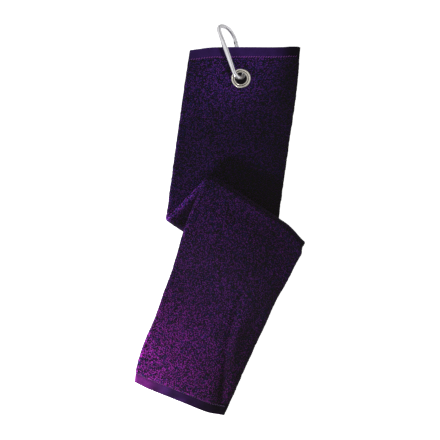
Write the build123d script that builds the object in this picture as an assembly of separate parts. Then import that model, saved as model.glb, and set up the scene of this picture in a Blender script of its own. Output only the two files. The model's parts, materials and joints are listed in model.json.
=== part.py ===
from build123d import *
import math
import os

# A golf towel lying loosely Z-folded, with an eyelet near its top hem and a snap hook through it.
# Millimetres. +X along the top hem, +Y towards the snap hook, +Z up off the table.
# Origin: bottom centre of the whole thing as it lies.

os.makedirs("parts", exist_ok=True)

# ---------------------------------------------------------------- cloth dimensions
strip_thick = 6.9          # three terry layers pressed flat
hem_thick = 4.6
hem_line_y = 197.2         # where the top hem band meets the terry
band_gap = 0.02

# Fold frame: "along" runs with the fold lines, "across" points towards the bottom hem.
fold_angle = math.radians(-33.2)
along_dir = Vector(math.cos(fold_angle), math.sin(fold_angle), 0)
across_dir = Vector(math.sin(fold_angle), -math.cos(fold_angle), 0)

# Fold axes. The upper fold joins the upper and middle panels, the lower fold the middle and lower.
upper_fold_across, upper_fold_z, upper_fold_r = 29.1, 7.0, 6.95
lower_fold_across, lower_fold_z, lower_fold_r = -34.0, 19.0, 7.45
upper_fold_span = (-55.2, 92.4)      # ends, measured along the fold
lower_fold_span = (-43.4, 101.6)
upper_trim_gap = 0.03                # upper panel to the upper fold axis
middle_gap = 0.05                    # middle panel to both fold axes

# Plan outlines in (x, y)
top_edge = [(-36.3, 207.8), (-22, 210.4), (-5.8, 212.0), (97.6, 210.8)]
upper_outline = top_edge + [
    (95.6, 197.0), (91.9, 155.3), (81.7, 88.2), (70.3, 3.8),
    (60.6, -69.0), (-61.6, 10.9), (-51.0, 92.0), (-42.0, 163.0),
]
top_band_outline = [(-37.6, hem_line_y)] + top_edge + [(95.6, hem_line_y)]

# Plan outlines in (along, across)
middle_ends = (lower_fold_across + middle_gap, upper_fold_across - middle_gap)
middle_outline = [
    (upper_fold_span[0], middle_ends[1]), (lower_fold_span[0], middle_ends[0]),
    (lower_fold_span[1], middle_ends[0]), (upper_fold_span[1], middle_ends[1]),
]
lower_outline = [
    (-43.4, -33.9), (102.5, -33.9), (112.5, 36.0), (121.7, 102.0), (133.3, 184.5),
    (14.0, 210.6), (4.8, 177.1), (-9.3, 102.2), (-28.5, 36.0),
]
bottom_band_outline = [
    (14.15, 210.75), (133.45, 184.65), (135.2, 197.4), (100, 207.0), (47, 218.6), (21.1, 222.6),
]

# Side profiles in (y, underside z, top z)
upper_profile = [
    (-90, 0.0, strip_thick), (105, 0.0, strip_thick), (150, 5.6, 12.6), (163, 8.0, 13.6),
    (183, 8.0, 13.6), (200, 11.2, 16.4), (215, 12.4, 17.2),
]
top_band_profile = [(190, 9.3, 14.7), (200, 11.2, 15.8), (215, 12.4, 17.0)]

# Side profiles in (across, underside z, top z)
middle_profile = [(middle_ends[0], 11.9, 18.8), (middle_ends[1], 7.1, 13.9)]
lower_profile = [
    (-33.9, 19.1, 26.3), (-10, 18.0, 25.1), (29, 15.4, 22.4), (44, 12.4, 19.4), (62, 7.6, 14.6),
    (82, 2.6, 9.6), (100, 0.4, 7.3), (114, 0.0, strip_thick), (240, 0.0, strip_thick),
]
bottom_band_profile = [(150, 0.0, hem_thick), (240, 0.0, hem_thick)]

# ---------------------------------------------------------------- grommet dimensions
grommet_x, grommet_y = 25.6, 173.0
web_low, web_high = 8.9, 12.1        # cloth pinched between the two flanges
hole_r = 7.25
barrel_r = 7.8
flange_r = 11.8
washer_in_r = barrel_r + 0.06

# ---------------------------------------------------------------- shared helpers
on_base = (Align.CENTER, Align.CENTER, Align.MIN)


def polygon(points):
    return Face(Wire.make_polygon(points, close=True))


def fold_point(along, across, z=0.0):
    return along_dir * along + across_dir * across + Vector(0, 0, z)


def prism(outline, z0=-5.0, z1=60.0):
    """Upright block tall enough to cut any panel to its plan outline."""
    return Solid.extrude(polygon([Vector(x, y, z0) for x, y in outline]), Vector(0, 0, z1 - z0))


def fold_prism(outline):
    corners = [fold_point(along, across) for along, across in outline]
    return prism([(corner.X, corner.Y) for corner in corners])


def slab(profile, place, run):
    """Extrude a side profile by run; place turns (distance, z) into a point."""
    points = [place(distance, low) for distance, low, _ in profile]
    points += [place(distance, high) for distance, _, high in reversed(profile)]
    return Solid.extrude(polygon(points), run)


def slab_along_x(profile):
    return slab(profile, lambda y, z: Vector(-160, y, z), Vector(320, 0, 0))


def slab_along_fold(profile):
    return slab(profile, lambda across, z: fold_point(-160, across, z), along_dir * 360)


def upright(radius, length):
    """Cylinder standing on its base."""
    return Cylinder(radius, length, align=on_base)


def largest(shape):
    return max(shape.solids(), key=lambda solid: solid.volume)


def write(name, *shapes):
    body = shapes[0] if len(shapes) == 1 else Compound(children=list(shapes))
    body.label = name
    export_step(body, f"parts/{name}.step")


# ---------------------------------------------------------------- cloth panels and hem bands
def grommet_disc(radius, z0, z1):
    return Pos(grommet_x, grommet_y, (z0 + z1) / 2) * Cylinder(radius, z1 - z0)


def upper_panel():
    band_start = hem_line_y - band_gap
    below_band = prism([(-120, -120), (140, -120), (140, band_start), (-120, band_start)])
    panel = slab_along_x(upper_profile) & prism(upper_outline) & below_band
    # the panel ends on the line of the upper fold
    fold_edge = upper_fold_across - upper_trim_gap
    panel = panel & fold_prism([(-320, fold_edge), (320, fold_edge), (320, -400), (-320, -400)])
    # the cloth is thinned to the web under the flanges, then holed for the barrel
    thinned_r = flange_r + 0.5
    panel = panel - grommet_disc(thinned_r, web_high, 30) - grommet_disc(thinned_r, -5, web_low)
    return largest(panel - grommet_disc(barrel_r + 0.1, -5, 30))


write("upper_panel", upper_panel())
write("top_hem_band", largest(slab_along_x(top_band_profile) & prism(top_band_outline)))
for name, profile, outline in [
    ("middle_panel", middle_profile, middle_outline),
    ("lower_panel", lower_profile, lower_outline),
    ("bottom_hem_band", bottom_band_profile, bottom_band_outline),
]:
    write(name, largest(slab_along_fold(profile) & fold_prism(outline)))


# ---------------------------------------------------------------- folds
def fold_roll(across, z, radius, span, side):
    """Half cylinder on a fold axis; side is +1 or -1 for the half kept in the across direction."""
    start, end = span
    base = Plane(origin=fold_point(start, across, z), x_dir=across_dir, z_dir=along_dir)
    roll = base * upright(radius, end - start)
    keep = base * Pos(side * 10, 0, 0) * Box(20, 40, end - start + 2, align=on_base)
    return largest(roll & (Pos(along_dir * -1) * keep))


write("upper_fold",
      fold_roll(upper_fold_across, upper_fold_z, upper_fold_r, upper_fold_span, 1))
write("lower_fold",
      fold_roll(lower_fold_across, lower_fold_z, lower_fold_r, lower_fold_span, -1))

# ---------------------------------------------------------------- hem stitching
stitch_length, stitch_width, stitch_height = 2.3, 0.55, 0.45
stitch_slant = 32          # degrees from the line of the seam
stitch_lift = 0.03         # clear of the cloth
top_stitch_count, top_stitch_pitch, top_stitch_start_x = 43, 3.06, -35.4
top_stitch_inset = 1.6     # from the hem line
top_stitch_lead = 1.3      # the slope's height is taken this much further along +Y
bottom_stitch_count = 39
bottom_seam_start, bottom_seam_end = fold_point(14.2, 208.9), fold_point(133.2, 182.9)


def stitch(x, y, z, seam_dir):
    plane = Plane(origin=Vector(x, y, z), x_dir=seam_dir.rotate(Axis.Z, stitch_slant),
                  z_dir=Vector(0, 0, 1))
    return plane * Box(stitch_length, stitch_width, stitch_height, align=on_base)


def top_stitches():
    (slope_y0, _, slope_z0), (slope_y1, _, slope_z1) = upper_profile[4:6]
    slope = (slope_z1 - slope_z0) / (slope_y1 - slope_y0)
    y = hem_line_y - top_stitch_inset
    z = slope_z0 + (y + top_stitch_lead - slope_y0) * slope + stitch_lift
    return [stitch(top_stitch_start_x + i * top_stitch_pitch, y, z, Vector(1, 0, 0))
            for i in range(top_stitch_count)]


def bottom_stitches():
    seam = bottom_seam_end - bottom_seam_start
    centres = [bottom_seam_start + seam * ((i + 0.5) / bottom_stitch_count)
               for i in range(bottom_stitch_count)]
    return [stitch(centre.X, centre.Y, strip_thick + stitch_lift, seam.normalized())
            for centre in centres]


write("top_hem_stitching", *top_stitches())
write("bottom_hem_stitching", *bottom_stitches())

# ---------------------------------------------------------------- grommet
# Half sections in (radius, z)
# eyelet: rolled flange on top, barrel through the cloth, lip turned out below the washer
eyelet_profile = [
    (hole_r, web_low - 1.0), (hole_r, web_high + 0.75), (hole_r + 0.35, web_high + 1.15),
    (8.3, web_high + 1.3), (8.9, web_high + 1.15), (9.3, web_high + 0.62),
    (9.65, web_high + 0.55), (10.0, web_high + 0.85), (10.5, web_high + 1.05),
    (11.2, web_high + 0.95), (flange_r - 0.1, web_high + 0.5), (flange_r, web_high + 0.02),
    (barrel_r, web_high + 0.02), (barrel_r, web_low - 0.72), (9.2, web_low - 0.82),
    (9.3, web_low - 1.0), (9.0, web_low - 1.22), (hole_r + 0.5, web_low - 1.3),
]
washer_profile = [
    (washer_in_r, web_low - 0.02), (flange_r, web_low - 0.02), (flange_r, web_low - 0.35),
    (flange_r - 0.6, web_low - 0.75), (10.4, web_low - 0.8), (9.5, web_low - 0.66),
    (washer_in_r, web_low - 0.66),
]
for name, profile in [("grommet_eyelet", eyelet_profile), ("grommet_washer", washer_profile)]:
    section = polygon([Vector(radius, 0, z) for radius, z in profile])
    write(name, Pos(grommet_x, grommet_y, 0) * Solid.revolve(section, 360, Axis.Z))

# ---------------------------------------------------------------- snap hook, as it lies
# The hook is built flat: x from crown to bottom, y from spine to gate. It is then laid tilted.
long_x, long_y, long_drop = 0.345, -0.9386, 0.0965
across_drop = 1.2
hook_long = Vector(long_x, long_y, -long_drop).normalized()
hook_across = Vector(-long_y, long_x, -across_drop)
hook_across = (hook_across - hook_long * hook_across.dot(hook_long)).normalized()
hook_plane = Plane(origin=Vector(-3.0, 234.3, 24.0), x_dir=hook_long,
                   z_dir=hook_long.cross(hook_across))


def write_laid(name, shape):
    write(name, hook_plane.location * shape)


# ---------------------------------------------------------------- snap hook dimensions
rod_r = 5.2 / 2
spine_wide, spine_thin = 6.8, 4.5
crown_x, crown_y, crown_r = 20.3, 5.2, 19.7
corner_r = 6.2
bottom_x, bottom_r = 57.4, 10.15
# the corner circle touches the spine line y=0 and the crown arc from inside
corner_y = corner_r
corner_x = crown_x - math.sqrt((crown_r - corner_r) ** 2 - (crown_y - corner_y) ** 2)
corner_angle = math.degrees(math.atan2(corner_y - crown_y, corner_x - crown_x))
# spine stations: (fraction of length, width normal to the hook, thickness in its plane)
spine_stations = [
    (0.0, 2 * rod_r, 2 * rod_r), (0.14, 5.9, 4.9), (0.35, spine_wide, spine_thin),
    (0.62, spine_wide, spine_thin), (0.86, 5.9, 4.9), (1.0, 2 * rod_r, 2 * rod_r),
]

# The gate runs straight from the nose to the hinge.
nose = Vector(crown_x, crown_y + crown_r, 0)
hinge = Vector(53.4, 20.2, 0)
gate_dir = (hinge - nose).normalized()
gate_len = (hinge - nose).length
gate_d = 5.6
gate_start = 2.75          # from the nose
fork_end_r = 3.6
fork_clear_r = 4.35
bore_r, bore_start = 3.2 / 2, 12.0
tongue_thick, tongue_slot = 1.7, 1.7 + 0.5
eye_thick, eye_slot = 2.0, 2.0 + 0.4
rivet_r = 1.8 / 2
rivet_hole_r = rivet_r + 0.03
pin_r, pin_hole_r = 0.6, 0.62
through = 12               # taller than any hook piece

# Flat outlines in (distance from the nose along the gate, distance away from the spine)
tongue_outline = [
    (0.5, -1.7), (3.2, -1.7), (3.9, -0.35), (5.3, -0.35),
    (5.9, -1.5), (7.4, -1.5), (7.4, 1.7), (0.5, 1.7),
]
eye_outline = [
    (gate_len - 1.6, -1.45), (gate_len - 1.6, 1.45), (gate_len + 5.5, 1.9), (gate_len + 5.5, -1.9),
]


def on_gate(x, y=0.0, z=0.0):
    """Point x along the gate from the nose, and y across it, away from the spine."""
    return nose + gate_dir * x + Vector(-gate_dir.Y, gate_dir.X, 0) * y + Vector(0, 0, z)


def gate_plate(outline, thick):
    return Solid.extrude(polygon([on_gate(x, y, -thick / 2) for x, y in outline]),
                         Vector(0, 0, thick))


def gate_block(x0, x1, half_width, thick):
    return gate_plate([(x0, -half_width), (x1, -half_width), (x1, half_width), (x0, half_width)],
                      thick)


def at_hinge(shape, z=0.0):
    return Pos(hinge.X, hinge.Y, z) * shape


# ---------------------------------------------------------------- hook frame
def arc(centre_x, centre_y, radius, start, end):
    angles = [math.radians(a) for a in (start, (start + end) / 2, end)]
    return Edge.make_three_point_arc(*[
        Vector(centre_x + radius * math.cos(a), centre_y + radius * math.sin(a), 0)
        for a in angles])


def rod_along(path):
    return sweep(Plane(origin=path @ 0, z_dir=path % 0) * Circle(rod_r), path)


def spine_section(x, wide, thin):
    return Plane(origin=(x, 0, 0), x_dir=(0, 1, 0), z_dir=(1, 0, 0)) * Ellipse(thin / 2, wide / 2)


def hook_frame():
    top_rod = rod_along(Wire([arc(crown_x, crown_y, crown_r, 90, corner_angle),
                              arc(corner_x, corner_y, corner_r, corner_angle, 270)]))
    bottom_rod = rod_along(Wire([arc(bottom_x, bottom_r, bottom_r, -90, 90)]))
    spine_length = bottom_x - corner_x
    spine = loft([spine_section(corner_x + fraction * spine_length, wide, thin)
                  for fraction, wide, thin in spine_stations])
    # nose: short straight stub, then a flat hooked tongue that the gate's pin sits in
    nose_stub = Plane(origin=(nose.X - 0.3, nose.Y, 0), z_dir=gate_dir) * upright(rod_r, 2.4)
    tongue = gate_plate(tongue_outline, tongue_thick)
    # hinge: a flat eye that the gate's forked end straddles
    eye = gate_plate(eye_outline, eye_thick)
    frame = top_rod + spine + bottom_rod + nose_stub + tongue + eye
    # relief above and below the eye keeps the fork clear of the rod when the gate turns
    eye_keep = at_hinge(Box(20, 20, eye_thick))
    frame = frame - (at_hinge(Cylinder(fork_clear_r, through)) - eye_keep)
    return largest(frame - at_hinge(Cylinder(rivet_hole_r, through)))


write_laid("hook_frame", hook_frame())

# ---------------------------------------------------------------- gate, latch pin and rivet
pin_centre = on_gate(4.6, -1.25)


def gate():
    """Drilled tube with a slotted free end and a forked hinge end."""
    start_plane = Plane(origin=on_gate(gate_start), x_dir=Vector(0, 0, 1), z_dir=gate_dir)
    body = start_plane * upright(gate_d / 2, gate_len + fork_end_r - gate_start)
    bore_plane = Plane(origin=on_gate(bore_start), z_dir=gate_dir)
    body = body - bore_plane * upright(bore_r, gate_len - bore_start)
    body = body - gate_block(0, 8.2, 4, tongue_slot)
    body = body - gate_block(gate_len - 2.2, gate_len + 8, 4, eye_slot)
    body = body - at_hinge(Cylinder(rivet_hole_r, through))
    # rounded end of the fork
    body = body & (at_hinge(Cylinder(fork_end_r, through))
                   + gate_block(-2, gate_len, 5, through))
    # the latch pin crosses the slot at the free end
    return body - Pos(pin_centre.X, pin_centre.Y, 0) * Cylinder(pin_hole_r, through)


def gate_rivet():
    head_z = gate_d / 2 + 0.25
    rivet = at_hinge(Cylinder(rivet_r, gate_d + 0.3))
    for z in (head_z, -head_z):
        rivet = rivet + at_hinge(Cylinder(1.5, 0.4), z)
    return largest(rivet)


write_laid("gate", gate())
write_laid("latch_pin", Pos(pin_centre.X, pin_centre.Y, 0) * Cylinder(pin_r, gate_d * 0.86))
write_laid("gate_rivet", gate_rivet())

# ---------------------------------------------------------------- plunger and spring in the gate
plunger_face = gate_len - 1.72
plunger_r, plunger_length = 1.5, 3.4
stem_r, stem_length = 0.75, 2.4
coil_start = bore_start + 0.5
coil_end = plunger_face - plunger_length - 0.35
coil_pitch, coil_r, coil_wire_r = 1.55, 1.18, 0.2


def spring_plunger():
    """Head at the hinge end, stem pointing back towards the nose."""
    base = Plane(origin=on_gate(plunger_face), z_dir=gate_dir * -1)
    head = base * upright(plunger_r, plunger_length)
    return largest(head + base * Pos(0, 0, plunger_length) * upright(stem_r, stem_length))


def gate_spring():
    helix = Edge.make_helix(coil_pitch, coil_end - coil_start, coil_r)
    coil = sweep(Plane(origin=helix @ 0, z_dir=helix % 0) * Circle(coil_wire_r), Wire([helix]))
    return largest(Plane(origin=on_gate(coil_start), z_dir=gate_dir).location * coil)


write_laid("spring_plunger", spring_plunger())
write_laid("gate_spring", gate_spring())
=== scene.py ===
# A terry towel with woven hems, a grommet and a metal hook, lying on a table at z = 0. The cloth
# is folded lengthwise into three layers, then twice across. The upper strip, with the grommet,
# lies lowest and reaches to +Y; the middle strip runs back over it; the lower strip lies on top
# and ends in the free hem at -Y. Left is -X, right is +X.
import json
import math
import bpy
import numpy as np
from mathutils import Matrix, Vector


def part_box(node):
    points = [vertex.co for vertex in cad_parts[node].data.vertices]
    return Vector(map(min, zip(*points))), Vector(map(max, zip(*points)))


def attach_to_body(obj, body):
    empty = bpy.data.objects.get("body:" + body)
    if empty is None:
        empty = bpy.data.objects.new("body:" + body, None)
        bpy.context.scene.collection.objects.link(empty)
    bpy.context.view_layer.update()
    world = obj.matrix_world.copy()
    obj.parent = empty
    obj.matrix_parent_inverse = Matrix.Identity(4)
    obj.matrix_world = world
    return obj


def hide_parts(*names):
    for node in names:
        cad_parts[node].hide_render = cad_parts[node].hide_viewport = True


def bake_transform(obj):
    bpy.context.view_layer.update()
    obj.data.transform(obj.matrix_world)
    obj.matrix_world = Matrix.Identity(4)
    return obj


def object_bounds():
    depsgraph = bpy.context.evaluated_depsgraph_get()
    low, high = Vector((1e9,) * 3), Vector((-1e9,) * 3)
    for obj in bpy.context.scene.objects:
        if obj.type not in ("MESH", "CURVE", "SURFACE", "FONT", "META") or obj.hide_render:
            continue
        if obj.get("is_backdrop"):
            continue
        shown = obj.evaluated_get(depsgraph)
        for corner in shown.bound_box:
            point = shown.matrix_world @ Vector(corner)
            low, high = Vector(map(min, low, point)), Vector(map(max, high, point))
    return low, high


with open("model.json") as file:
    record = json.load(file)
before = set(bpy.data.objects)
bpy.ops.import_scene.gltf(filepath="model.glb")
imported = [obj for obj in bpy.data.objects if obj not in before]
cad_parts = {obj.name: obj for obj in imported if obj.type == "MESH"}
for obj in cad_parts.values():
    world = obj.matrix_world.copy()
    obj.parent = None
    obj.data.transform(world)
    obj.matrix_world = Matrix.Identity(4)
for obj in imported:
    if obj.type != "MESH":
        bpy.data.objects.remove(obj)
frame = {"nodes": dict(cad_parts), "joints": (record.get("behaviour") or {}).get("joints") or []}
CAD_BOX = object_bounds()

scene = bpy.context.scene
MM = 0.001

# ------------------------------------------------------------------ places taken from the frame
joints = {joint["name"]: joint for joint in frame["joints"]}
UPPER_AXIS = np.array(joints["upper_fold_opens"]["pos_m"]) / MM
LOWER_AXIS = np.array(joints["lower_fold_opens"]["pos_m"]) / MM
ALONG_FOLD = np.array(joints["upper_fold_opens"]["axis"][:2], float)
ALONG_FOLD /= np.linalg.norm(ALONG_FOLD)                  # left to right
ACROSS_FOLD = np.array([ALONG_FOLD[1], -ALONG_FOLD[0]])   # towards the free end
UPPER_S, UPPER_Z = float(UPPER_AXIS[:2] @ ACROSS_FOLD), float(UPPER_AXIS[2])
LOWER_S, LOWER_Z = float(LOWER_AXIS[:2] @ ACROSS_FOLD), float(LOWER_AXIS[2])

eye_low, eye_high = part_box("grommet_eyelet")
GROMMET = np.array([(eye_low[0] + eye_high[0]) / 2, (eye_low[1] + eye_high[1]) / 2]) / MM
EYE_R = (eye_high[0] - eye_low[0]) / 2 / MM
EYE_BASE = eye_low[2] / MM
WEB_TOP = eye_high[2] / MM - 1.3                 # where the eyelet's flange meets the cloth
WEB_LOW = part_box("grommet_washer")[1][2] / MM

# ------------------------------------------------------------------ cloth sizes, mm
WIDTH = 134.0              # of the lengthwise fold
LAYER = 2.3                # pitch of its three layers
LEFT_R = 1.5 * LAYER       # the left edge wraps all three layers
RIGHT_R = 1.0 * LAYER      # the right edge wraps two
FULL_THICK = 6.9           # the three layers of terry
HEM_THICK = 4.7
HEM_DEPTH = 13.2
STITCH_LINE = HEM_DEPTH - 1.5                    # from the hem's outer edge
CLEARANCE = 0.15           # under the lowest skin
PILE_HEIGHT = 0.50
LOOP_PITCH = 1.9           # of the modelled pile
END_ROUNDING = 2.6         # length over which the terry's ends draw together
HEM_ROUNDING = 0.95
HOLE_R = 6.9               # cloth inside this radius is cut away
HOLE_EDGE_R = 8.35         # where the cut edge is pushed out to
HOLE_PUSH_R = 10.6         # cloth inside this radius is pushed out
COLUMNS = 68
SHARE = np.linspace(0, 1, COLUMNS)               # 0 on a strip's left edge, 1 on its right
CROWN = 1 - (2 * SHARE - 1) ** 2                 # 0 on both edges, 1 in the middle

# Heights of the stack's middle where it enters and leaves each fold
UPPER_FOLD_LOW = 3.45
UPPER_FOLD_HIGH = 2 * UPPER_Z - UPPER_FOLD_LOW
LOWER_FOLD_R = 3.68
LOWER_FOLD_LOW, LOWER_FOLD_HIGH = LOWER_Z - LOWER_FOLD_R, LOWER_Z + LOWER_FOLD_R
# Distance round each fold's outside skin, for half a turn
UPPER_FOLD_RUN, LOWER_FOLD_RUN = math.pi * 6.9, math.pi * 7.1

# Left and right ends along the fold direction
UPPER_FOLD_IN, UPPER_FOLD_OUT = (-59.5, 94.0), (-54.9, 93.0)
MIDDLE_START = (-54.6, 92.4)
LOWER_FOLD_IN, LOWER_FOLD_OUT = (-43.6, 101.8), (-43.2, 102.0)


# ------------------------------------------------------------------ numeric helpers
def smooth01(x):
    x = np.clip(x, 0, 1)
    return x * x * (3 - 2 * x)


def ramp(x, start, span):
    """Smooth rise from 0 at start to 1 at start + span; a negative span rises downwards."""
    return smooth01((x - start) / span)


def bell(x, centre, width):
    return np.exp(-((x - centre) / width) ** 2)


def lerp(first, second, share):
    return first * (1 - share) + second * share


def unit(vectors):
    return vectors / (np.linalg.norm(vectors, axis=-1, keepdims=True) + 1e-12)


def in_plane(tau, s):
    """X and Y of a point tau along the folds and s across them."""
    tau, s = np.asarray(tau, float), np.asarray(s, float)
    return np.stack([ALONG_FOLD[0] * tau + ACROSS_FOLD[0] * s,
                     ALONG_FOLD[1] * tau + ACROSS_FOLD[1] * s], -1)


def in_space(tau, s, z):
    return np.concatenate([in_plane(tau, s), (z + 0 * s)[..., None]], -1)


def spline(xs, ys, x):
    """Monotone cubic through the points, level beyond them."""
    xs, ys = np.asarray(xs, float), np.asarray(ys, float)
    gap = np.diff(xs)
    slope = np.diff(ys) / gap
    before, after = slope[:-1], slope[1:]
    tangent = np.zeros_like(ys)
    tangent[1:-1] = np.where(before * after > 0, 2 * before * after / (before + after + 1e-12), 0)
    tangent[0], tangent[-1] = slope[0], slope[-1]
    x = np.clip(x, xs[0], xs[-1])
    i = np.clip(np.searchsorted(xs, x) - 1, 0, len(gap) - 1)
    t = (x - xs[i]) / gap[i]
    t2, t3 = t * t, t * t * t
    return ((2 * t3 - 3 * t2 + 1) * ys[i] + (t3 - 2 * t2 + t) * gap[i] * tangent[i]
            + (-2 * t3 + 3 * t2) * ys[i + 1] + (t3 - t2) * gap[i] * tangent[i + 1])


def distances(points):
    """Distance of each point along its polyline."""
    steps = np.linalg.norm(np.diff(points, axis=0), axis=1)
    return np.concatenate([[0], np.cumsum(steps)])


def along(points, dist):
    """Places at the given distances along the smoothed polyline."""
    marks = distances(points)
    return np.stack([spline(marks, column, dist) for column in points.T], -1)


def between(left, right):
    """Values over a strip's columns, from those on its left and right edges."""
    share = SHARE if left.ndim == 1 else SHARE[:, None]
    return left[:, None] * (1 - share) + right[:, None] * share


# ------------------------------------------------------------------ hashed noise and pile
def hash2(ix, iy, seed):
    h = (ix.astype(np.int64) * 73856093) ^ (iy.astype(np.int64) * 19349663) ^ (seed * 83492791)
    h = (h ^ (h >> 13)) * 1274126177
    h = h ^ (h >> 16)
    return (h & 0xFFFFFF) / float(0xFFFFFF)


def value_noise(x, y, size, seed):
    x, y = x / size, y / size
    ix, iy = np.floor(x), np.floor(y)
    fx, fy = x - ix, y - iy
    fx, fy = fx * fx * (3 - 2 * fx), fy * fy * (3 - 2 * fy)
    near = lerp(hash2(ix, iy, seed), hash2(ix + 1, iy, seed), fx)
    far = lerp(hash2(ix, iy + 1, seed), hash2(ix + 1, iy + 1, seed), fx)
    return lerp(near, far, fy)


def ripple(x, y, size, height, seed):
    """Noise centred on zero."""
    return (value_noise(x, y, size, seed) - 0.5) * height


def loops(x, y, pitch, seed):
    """Terry loops on a jittered grid: height 0..1 and a random number per loop."""
    grid_x, grid_y = x / pitch, y / pitch
    ix, iy = np.floor(grid_x), np.floor(grid_y)
    nearest = np.full(x.shape, 9.0)
    tag = np.zeros(x.shape)
    for step_x in (-1, 0, 1):
        for step_y in (-1, 0, 1):
            cell = ix + step_x, iy + step_y
            loop_x = cell[0] + 0.5 + 0.75 * (hash2(*cell, seed) - 0.5)
            loop_y = cell[1] + 0.5 + 0.75 * (hash2(*cell, seed + 7) - 0.5)
            radius = 0.85 + 0.3 * hash2(*cell, seed + 13)
            dist = np.hypot(grid_x - loop_x, grid_y - loop_y) / radius
            hit = dist < nearest
            nearest = np.where(hit, dist, nearest)
            tag = np.where(hit, hash2(*cell, seed + 29), tag)
    return np.clip(1 - nearest / 0.78, 0, 1), tag


# ------------------------------------------------------------------ the folded cross-section
FRONT, BACK, HIDDEN = 0, 1, 2


def cross_section(front=0.98, arc=0.95, hidden=11):
    """Closed outline of the three layers; front and arc are point spacings in mm, hidden a count.

    Columns: x from the left silhouette, mm; depth in layers below the front skin (0..3);
    outward direction across and up; share of pile; distance round the skin, mm; skin."""
    back = 1.5
    selvedge = WIDTH - 3.2
    rows = []

    def hidden_run(start, span, depth, up):
        for i in range(hidden):
            rows.append((start + span * i / (hidden - 1), depth, 0, up, 0.0, 0, HIDDEN))

    # the inner flap's lower skin, left to right
    hidden_run(4.6, WIDTH - RIGHT_R - 4.6, 2 - 0.01, -1)
    # right fold, from below to above
    count = max(6, int(math.pi * RIGHT_R / arc))
    for i in range(1, count):
        a = -math.pi / 2 + math.pi * i / count
        rows.append((WIDTH - RIGHT_R + RIGHT_R * math.cos(a), 1 - math.sin(a),
                     math.cos(a), math.sin(a), 1.0, WIDTH + RIGHT_R * (math.pi / 2 - a), FRONT))
    # front, right to left
    count = int((WIDTH - RIGHT_R - LEFT_R) / front)
    for i in range(count + 1):
        x = WIDTH - RIGHT_R - (WIDTH - RIGHT_R - LEFT_R) * i / count
        rows.append((x, 0.0, 0, 1, 1.0, x, FRONT))
    # left fold, from above to below
    count = max(8, int(math.pi * LEFT_R / arc))
    for i in range(1, count):
        a = math.pi / 2 + math.pi * i / count
        rows.append((LEFT_R + LEFT_R * math.cos(a), 1.5 - 1.5 * math.sin(a),
                     math.cos(a), math.sin(a), 1.0, LEFT_R - LEFT_R * (a - math.pi / 2), FRONT))
    # back, left to right, and round the selvedge
    count = int((WIDTH - 3.0 - LEFT_R) / back)
    for i in range(count + 1):
        x = LEFT_R + (selvedge - LEFT_R) * i / count
        rows.append((x, 3.0, 0, -1, 1.0 if x < WIDTH - 12 else 0.15, -x - 9.0, BACK))
    rows.append((WIDTH - 2.6, 2.75, 1, -0.6, 0.0, -WIDTH - 9, BACK))
    rows.append((WIDTH - 2.6, 2.28, 1, 0.6, 0.0, -WIDTH - 9, BACK))
    # the skins facing each other inside
    hidden_run(selvedge, -(selvedge - LEFT_R - 0.1), 2 + 0.03, 1)
    for i in range(1, 4):
        a = -math.pi / 2 - math.pi * i / 4
        rows.append((LEFT_R + 0.48 * LAYER * math.cos(a), 1.5 - 0.48 * math.sin(a),
                     0, 0, 0.0, 0, HIDDEN))
    hidden_run(LEFT_R + 0.1, WIDTH - RIGHT_R - 0.2 - LEFT_R, 1 - 0.03, -1)
    hidden_run(WIDTH - RIGHT_R + 0.1, -(WIDTH - RIGHT_R - 4.5), 1 + 0.03, 1)
    # the inner flap's left edge
    rows.append((4.1, 1.25, -1, 0, 0.0, 0, HIDDEN))
    rows.append((4.1, 1.75, -1, 0, 0.0, 0, HIDDEN))
    return np.array(rows)


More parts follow.
